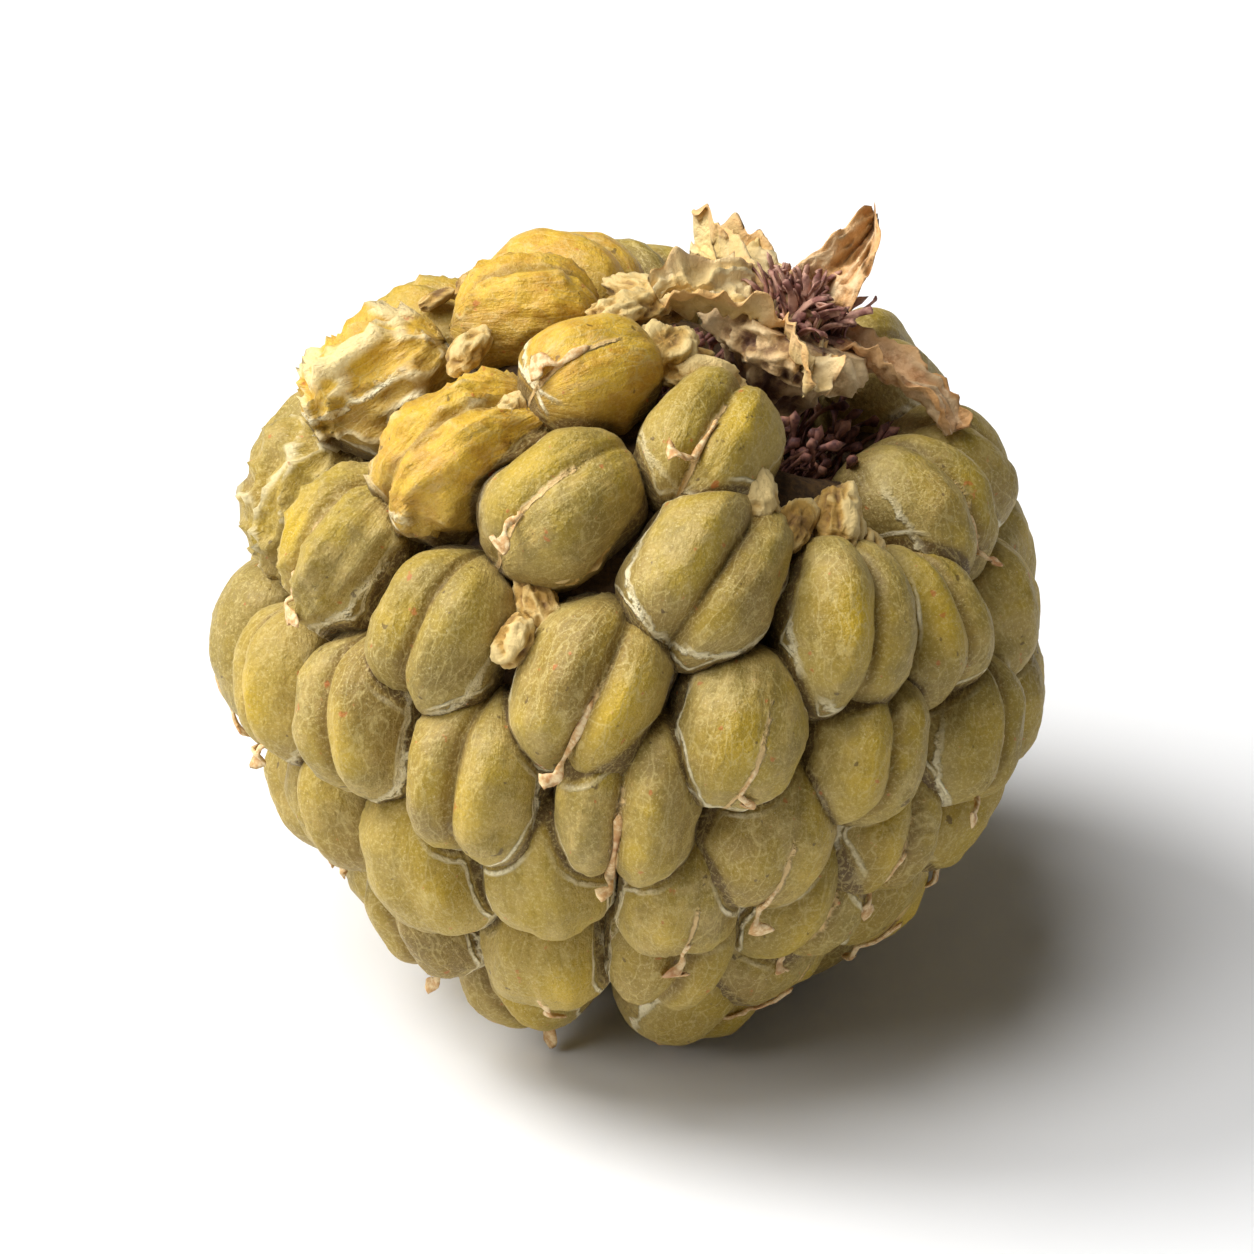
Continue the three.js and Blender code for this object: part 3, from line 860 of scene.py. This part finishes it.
def buildCrumbs(finish):
    looks = np.random.default_rng(looksSeed + 9)
    places = placeCrumbs(looks)
    levels = np.radians(np.linspace(-80, 80, crumb["rings"]))
    turns = np.linspace(0, 2 * math.pi, crumb["sides"], endpoint=False)
    level, turn = np.meshgrid(levels, turns, indexing="ij")
    level = np.concatenate([[-math.pi / 2], level.ravel(), [math.pi / 2]])
    turn = np.concatenate([[0], turn.ravel(), [0]])
    ball = np.stack([np.cos(level) * np.cos(turn), np.cos(level) * np.sin(turn), np.sin(level)], axis=1)
    build = Build()
    for index, (polar, azimuth, radius, depth) in enumerate(places):
        own = ball * radius + index * 7.3
        folds = 0.35 * ridges(own * [1, 0.5, 1], 4.6, index) + 0.8 * noise(own, 3.4, index + 50)
        folds += 0.35 * noise(own, 9, index + 70) + 0.3 * ridges(own, 12, index + 90)
        local = ball * radius * (1 + 0.5 * folds)[:, None] * [0.8, looks.uniform(1.0, 1.5), 0.6]
        spin = looks.uniform(-0.9, 0.9)
        turned = np.stack([
            local[:, 0] * math.cos(spin) - local[:, 1] * math.sin(spin),
            local[:, 0] * math.sin(spin) + local[:, 1] * math.cos(spin),
            local[:, 2],
        ], axis=1)
        points = turned @ np.array(surfaceAxes(polar, azimuth)) + np.array(headPoint(polar, azimuth, depth))
        build.add(points, ringFaces(crumb["rings"], crumb["sides"]), {"folds": folds})
    print("shrivelled drupelets placed", len(places))
    build.piece("shrivelledDrupelets", finish, "drupelets", "drupelet_skin")


# The withered calyx: neck, disc and scar turned round the base axis, and five sepals
neck = {"radius": 0.72, "bottom": 2.95}
disc = {"radius": 0.95, "bottom": 4.35, "top": 4.95}
scar = {"radius": 0.38, "top": 5.2}
sepals = [
    {"azimuth": 82, "length": 2.1, "width": 0.72, "lift": 20, "curl": -62, "crumple": 1.1, "pale": 0.0},
    {"azimuth": 150, "length": 1.75, "width": 1.08, "lift": 58, "curl": -22, "crumple": 1.3, "pale": 0.15},
    {"azimuth": -135, "length": 1.5, "width": 1.05, "lift": 26, "curl": -58, "crumple": 1.9, "pale": 1.0},
    {"azimuth": -72, "length": 1.45, "width": 1.05, "lift": 27, "curl": -78, "crumple": 1.8, "pale": 0.9},
    {"azimuth": 8, "length": 1.0, "width": 0.8, "lift": 5, "curl": -40, "crumple": 1.9, "pale": 0.8},
]
sepalSheet = {
    "thickness": 0.09,
    "lengthSteps": 64,
    "widthSteps": 36,
    "slopeSteps": 200,
    "shrink": 0.96,  # share of its length left after drying
    "root": 0.35,  # where it leaves the disc, a share of the disc's radius
    "waves": 0.17,
    "fold": 0.42,
}
calyxTones = {
    "straw": colour(228, 186, 136),
    "tan": colour(188, 132, 76),
    "rust": colour(158, 88, 42),
    "yellow": colour(232, 208, 132),
    "ochre": colour(176, 140, 62),
    "cream": colour(246, 228, 186),
    "edge": colour(224, 166, 96),
    "purple": colour(88, 48, 42),
    "sheen": colour(250, 235, 205),
}
baseFront = frontOf(baseAxis)
baseRight = baseAxis.cross(baseFront)


def basePoints(azimuth, radius, height):
    a = np.radians(azimuth)
    out = np.multiply.outer(np.cos(a) * radius, np.array(baseFront))
    out = out + np.multiply.outer(np.sin(a) * radius, np.array(baseRight))
    return out + np.multiply.outer(height * np.ones_like(radius), np.array(baseAxis))


def sepalFinish():
    finish = Finish("dry_sepal")
    edge = finish.value("edge")
    heart = finish.value("heart")
    veins = finish.value("veins")
    fibres = finish.noise(6, 5, 0.65)
    stains = finish.noise(2.2, 4, 0.6)
    tint = finish.blend(fibres.between(0.36, 0.66), calyxTones["straw"], calyxTones["tan"])
    tint = finish.blend(stains.between(0.46, 0.66) * 0.75, tint, calyxTones["rust"])
    tint = finish.blend(finish.value("pale") * 0.75, tint, calyxTones["yellow"])
    tint = finish.blend(stains.between(0.52, 0.6) * 0.35, tint, calyxTones["ochre"])
    tint = finish.blend(veins * 0.5, tint, calyxTones["cream"])
    tint = finish.blend(edge * (0.2 + stains * 0.8), tint, calyxTones["edge"])
    inHeart = (heart + (fibres - 0.5) * 0.7).between(0.35, 0.75)
    tint = finish.blend(inHeart * 0.9, tint, calyxTones["purple"])
    return finish.finished({
        "Base Color": tint,
        "Roughness": fibres * 0.2 + 0.6,
        "Normal": finish.bump(fibres, 0.8, 0.08 * mm),
        "Sheen Weight": 0.2,
        "Sheen Tint": calyxTones["sheen"],
    })


def sepalMiddle(sepal, along):
    # radius, height and slope along its middle line, which leaves the disc and curls over
    steps = sepalSheet["slopeSteps"]
    slopes = np.radians(sepal["lift"] + sepal["curl"] * np.linspace(0, 1, steps))
    stride = sepal["length"] * sepalSheet["shrink"] / steps
    out = np.concatenate([[0], np.cumsum(np.cos(slopes) * stride)])
    rise = np.concatenate([[0], np.cumsum(np.sin(slopes) * stride)])
    at = along * steps
    radius = disc["radius"] * sepalSheet["root"] + np.interp(at, np.arange(steps + 1), out)
    height = (disc["bottom"] + disc["top"]) / 2 + np.interp(at, np.arange(steps + 1), rise)
    return radius, height, np.interp(at, np.arange(steps), slopes)


def sheetFaces(wide, long):
    # the upper and the lower face of a sheet and the strip round its border
    count = wide * long
    faces = []
    for i in range(long - 1):
        for j in range(wide - 1):
            a = i * wide + j
            faces.append((a, a + 1, a + wide + 1, a + wide))
            faces.append((count + a, count + a + wide, count + a + wide + 1, count + a + 1))
    border = list(range(wide))
    border += [i * wide + wide - 1 for i in range(1, long)]
    border += [(long - 1) * wide + j for j in range(wide - 2, -1, -1)]
    border += [i * wide for i in range(long - 2, 0, -1)]
    for k, a in enumerate(border):
        b = border[(k + 1) % len(border)]
        faces.append((a, count + a, count + b, b))
    return faces


def sepalShell(sepal, seed):
    wide = sepalSheet["widthSteps"]
    long = sepalSheet["lengthSteps"]
    across, along = np.meshgrid(np.linspace(-1, 1, wide), np.linspace(0, 1, long))
    across = across.ravel()
    along = along.ravel()
    radius, height, slope = sepalMiddle(sepal, along)
    outWay = np.array(basePoints(sepal["azimuth"], np.array(1.0), np.array(0.0)))
    side = np.array(basePoints(sepal["azimuth"] + 90, np.array(1.0), np.array(0.0)))
    normal = np.outer(-np.sin(slope), outWay) + np.outer(np.cos(slope), np.array(baseAxis))

    # folded along its middle, waved and crumpled
    crosswise = across * sepal["width"] * 0.7 + seed
    flat = np.stack([crosswise, along * sepal["length"], np.zeros(len(along))], axis=1)
    lengthways = flat * [0, 1, 0]
    veins = ridges(flat * [1.6, 0.6, 1], 2.6, seed + 1)
    folded = sepalSheet["fold"] * (0.35 + 0.65 * smooth(0, 0.7, along))
    fromFold = np.abs(across + 0.5 * noise(lengthways + seed, 1.1, seed + 3))
    crumpled = 0.06 * veins + 0.075 * ridges(flat, 4.6, seed + 5) + 0.035 * ridges(flat, 9, seed + 6)
    crumpled += 0.1 * np.abs(across) ** 3 * noise(flat, 5, seed + 2)
    lift = folded * sepal["width"] * fromFold ** 1.2
    lift += crumpled * sepal["crumple"] + sepalSheet["waves"] * noise(flat, 2.2, seed)

    # narrow at its root, widest near its middle and pointed, with an edge that wanders
    halfWidth = sepal["width"] / 2 * (0.62 + 0.42 * np.sin(math.pi * along ** 0.8))
    halfWidth = halfWidth * (1 - along ** 2.4) ** 0.6 * (1 - 0.34 * folded * np.abs(across))
    wander = 0.16 * noise(lengthways, 1.4, seed + 4) * along
    wander += 0.08 * sepal["crumple"] * noise(flat, 2.8, seed + 8) * (0.3 + along)
    points = basePoints(sepal["azimuth"], radius, height)
    points += side * (across * halfWidth + wander)[:, None] + normal * lift[:, None]
    half = sepalSheet["thickness"] / 2 * np.sqrt(np.maximum(1 - across ** 4, 0.02))[:, None]
    values = {
        "pale": sepal["pale"],
        "edge": smooth(0.7, 1, np.abs(np.tile(across, 2))),
        "heart": np.tile(1 - smooth(0.0, 0.34, along), 2) * (1 - 0.5 * sepal["pale"]),
        "veins": np.tile(np.maximum(veins, 0), 2) ** 2,
    }
    return np.concatenate([points + normal * half, points - normal * half]), sheetFaces(wide, long), values


def stubShell():
    profile = [  # radius and height
        (neck["radius"], neck["bottom"]),
        (neck["radius"] * 0.8, 3.3),
        (neck["radius"] * 0.72, 3.9),
        (neck["radius"] * 0.9, disc["bottom"]),
        (disc["radius"] * 0.98, disc["bottom"] + 0.14),
        (disc["radius"], (disc["bottom"] + disc["top"]) / 2),
        (disc["radius"] * 0.85, disc["top"] - 0.02),
        (scar["radius"] * 1.3, disc["top"] - 0.08),
        (scar["radius"], disc["top"]),
        (scar["radius"] * 0.9, scar["top"] - 0.05),
        (scar["radius"] * 0.55, scar["top"] - 0.02),
        (scar["radius"] * 0.4, scar["top"] - 0.12),
    ]
    sides = 140
    rings = 130
    steps = np.linspace(0, len(profile) - 1, rings)
    radii = np.interp(steps, np.arange(len(profile)), [radius for radius, height in profile])
    heights = np.interp(steps, np.arange(len(profile)), [height for radius, height in profile])
    turn = np.linspace(0, 360, sides, endpoint=False)
    points = [basePoints(0, np.array([0.0]), np.array([neck["bottom"]]))]
    for radius, height in zip(radii, heights):
        points.append(basePoints(turn, np.full(sides, radius), np.full(sides, height)))
    points.append(basePoints(0, np.array([0.0]), np.array([heights[-1]])))
    points = np.concatenate(points)
    shift = noise(points, 2.4, 71) * 0.16 + ridges(points * [1, 1, 0.5], 3.8, 73) * 0.16
    shift += ridges(points * [1, 1, 0.6], 8, 74) * 0.09 + noise(points, 14, 72) * 0.06
    outward = points - np.outer(points @ np.array(baseAxis), np.array(baseAxis))
    folded = shift / 0.3
    values = {"pale": 0.4, "edge": 0.0, "heart": 0.62 - 0.5 * folded, "veins": np.clip(folded, 0, 1)}
    return points + outward * shift[:, None], ringFaces(rings, sides), values


def buildCalyx(finish):
    build = Build()
    build.add(*stubShell())
    for index, sepal in enumerate(sepals):
        points, faces, values = sepalShell(sepal, 11 + 7 * index)
        build.add(points, faces, values)
    build.piece("witheredCalyx", finish, "calyx", "dry_sepal")


# The withered stamens: crooked threads with a knob each, on a ring round the neck
stamen = {
    "count": 120,
    "inner": 0.9,
    "outer": 1.52,
    "bottom": 2.9,
    "length": 1.15,
    "thickness": 0.06,
    "knob": 0.17,
    "steps": 16,
    "dark": colour(78, 40, 38),
    "light": colour(142, 92, 76),
    "tan": colour(186, 134, 106),
}
# crumbled threads on the scar, paler and pinker than the stamens
scarThreads = {
    "count": 90,
    "radius": 0.55,
    "bottom": 4.86,
    "length": 0.64,
    "thickness": 0.07,
    "dark": colour(124, 76, 66),
    "light": colour(206, 160, 136),
}


def stamenFinish():
    finish = Finish("withered_stamen")
    fibres = finish.noise(9, 4, 0.6)
    tint = finish.blend(fibres.between(0.36, 0.7), stamen["dark"], stamen["light"])
    tint = finish.blend(finish.noise(4, 3).between(0.5, 0.66) * 0.6, tint, stamen["tan"])
    scarTint = finish.blend(finish.noise(5, 3).between(0.4, 0.62), scarThreads["dark"], scarThreads["light"])
    tint = finish.blend(finish.value("scar") * 0.85, tint, scarTint)
    return finish.finished({
        "Base Color": tint,
        "Roughness": fibres * 0.2 + 0.6,
        "Normal": finish.bump(fibres, 0.5, 0.03 * mm),
    })


def addScarThreads(build, looks, share):
    for k in range(scarThreads["count"]):
        azimuth = looks.uniform(-180, 180)
        start = scarThreads["radius"] * looks.uniform(0, 1)
        length = scarThreads["length"] * looks.uniform(0.5, 1.0)
        wave = looks.uniform(0.05, 0.13)
        phase = looks.uniform(0, 6)
        radius = start + looks.uniform(0, 0.35) * share + wave * np.sin(share * 8 + phase)
        height = scarThreads["bottom"] + length * share + wave * np.cos(share * 7 + phase)
        path = basePoints(azimuth + looks.uniform(-60, 60) * share, radius, height)
        widths = scarThreads["thickness"] * (1.5 + 0.9 * np.sin(share * 13 + phase) * (1 - share))
        side = np.array(basePoints(azimuth + 90 + looks.uniform(-70, 70), np.array(1.0), np.array(0.0)))
        points, faces = strandShell(path, side, widths, widths * 0.4)
        build.add(points, faces, {"scar": 1.0})


def addStamens(build, looks, share):
    for k in range(stamen["count"]):
        azimuth = 360 / stamen["count"] * k + looks.uniform(-5, 5)
        start = looks.uniform(stamen["inner"], stamen["outer"])
        length = stamen["length"] * looks.uniform(0.6, 1.15)
        lean = looks.uniform(-0.1, 0.5)
        wave = looks.uniform(0.03, 0.12)
        phase = looks.uniform(0, 6)
        radius = start + lean * share ** 2 + wave * np.sin(share * 7 + phase)
        height = stamen["bottom"] + length * share + wave * 0.6 * np.cos(share * 8 + phase)
        swing = azimuth + looks.uniform(-30, 30) * share ** 2
        path = basePoints(swing, radius, height)
        knob = np.exp(-((share - 0.93) / 0.06) ** 2)
        widths = stamen["thickness"] + (stamen["knob"] - stamen["thickness"]) * knob
        side = np.array(basePoints(azimuth + 90, np.array(1.0), np.array(0.0)))
        points, faces = strandShell(path, side, widths, widths * 0.8)
        build.add(points, faces, {"scar": 0.0})


def buildStamens(finish):
    looks = np.random.default_rng(looksSeed + 5)
    build = Build()
    share = np.linspace(0, 1, stamen["steps"])
    addScarThreads(build, looks, share)
    addStamens(build, looks, share)
    build.piece("witheredStamens", finish, "stamens", "withered_stamen")


# The floor, the light and the camera
stage = {"floorSide": 3.0, "floorTone": 0.86, "skyStrength": 0.08}
lights = [  # metres and watts
    {"name": "keyLight", "at": (-0.16, 0.04, 0.18), "size": 0.12, "power": 0.58},
    {"name": "frontLight", "at": (-0.22, -0.11, 0.16), "size": 0.16, "power": 0.27},
    {"name": "topLight", "at": (-0.07, -0.03, 0.26), "size": 0.16, "power": 0.44},
]
aim = Vector((0, 0, 0.0049))
camera = {"elevation": 33, "distance": 0.2, "frameWidth": 0.0158, "sensor": 36}


def buildStage():
    half = stage["floorSide"] / 2
    corners = [(-half, -half, 0), (half, -half, 0), (half, half, 0), (-half, half, 0)]
    mesh = bpy.data.meshes.new("floor")
    mesh.from_pydata(corners, [], [(0, 1, 2, 3)])
    finish = Finish("pale_floor")
    tone = stage["floorTone"]
    mesh.materials.append(finish.finished({"Base Color": (tone, tone, tone, 1), "Roughness": 0.7}))
    floor = bpy.data.objects.new("floor", mesh)
    bpy.context.scene.collection.objects.link(floor)
    for light in lights:
        lamp = bpy.data.lights.new(light["name"], "AREA")
        lamp.shape = "DISK"
        lamp.size = light["size"]
        lamp.energy = light["power"]
        holder = bpy.data.objects.new(light["name"], lamp)
        holder.location = light["at"]
        holder.rotation_euler = (aim - Vector(light["at"])).to_track_quat("-Z", "Y").to_euler()
        bpy.context.scene.collection.objects.link(holder)
    world = bpy.data.worlds.new("softWorld")
    world.use_nodes = True
    sky = world.node_tree.nodes["Background"]
    sky.inputs["Color"].default_value = (1, 1, 1, 1)
    sky.inputs["Strength"].default_value = stage["skyStrength"]
    bpy.context.scene.world = world
    bpy.context.scene.view_settings.view_transform = "Standard"


def buildCamera():
    data = bpy.data.cameras.new("camera")
    data.sensor_width = camera["sensor"]
    data.lens = camera["sensor"] * camera["distance"] / camera["frameWidth"]
    data.clip_start = 0.001
    data.clip_end = 10
    rise = math.radians(camera["elevation"])
    eye = bpy.data.objects.new("camera", data)
    eye.location = aim + camera["distance"] * Vector((0, -math.cos(rise), math.sin(rise)))
    eye.rotation_euler = (aim - eye.location).to_track_quat("-Z", "Y").to_euler()
    bpy.context.scene.collection.objects.link(eye)
    bpy.context.scene.camera = eye


buildStage()
buildCamera()
print("stage, light and camera ready")
buildHead(skinFinish())
buildCore(coreFinish())
buildStyles(styleFinish())
buildCrumbs(crumbFinish())
print("head ready")
buildCalyx(sepalFinish())
buildStamens(stamenFinish())
print("calyx and stamens ready")

bpy.context.view_layer.update()
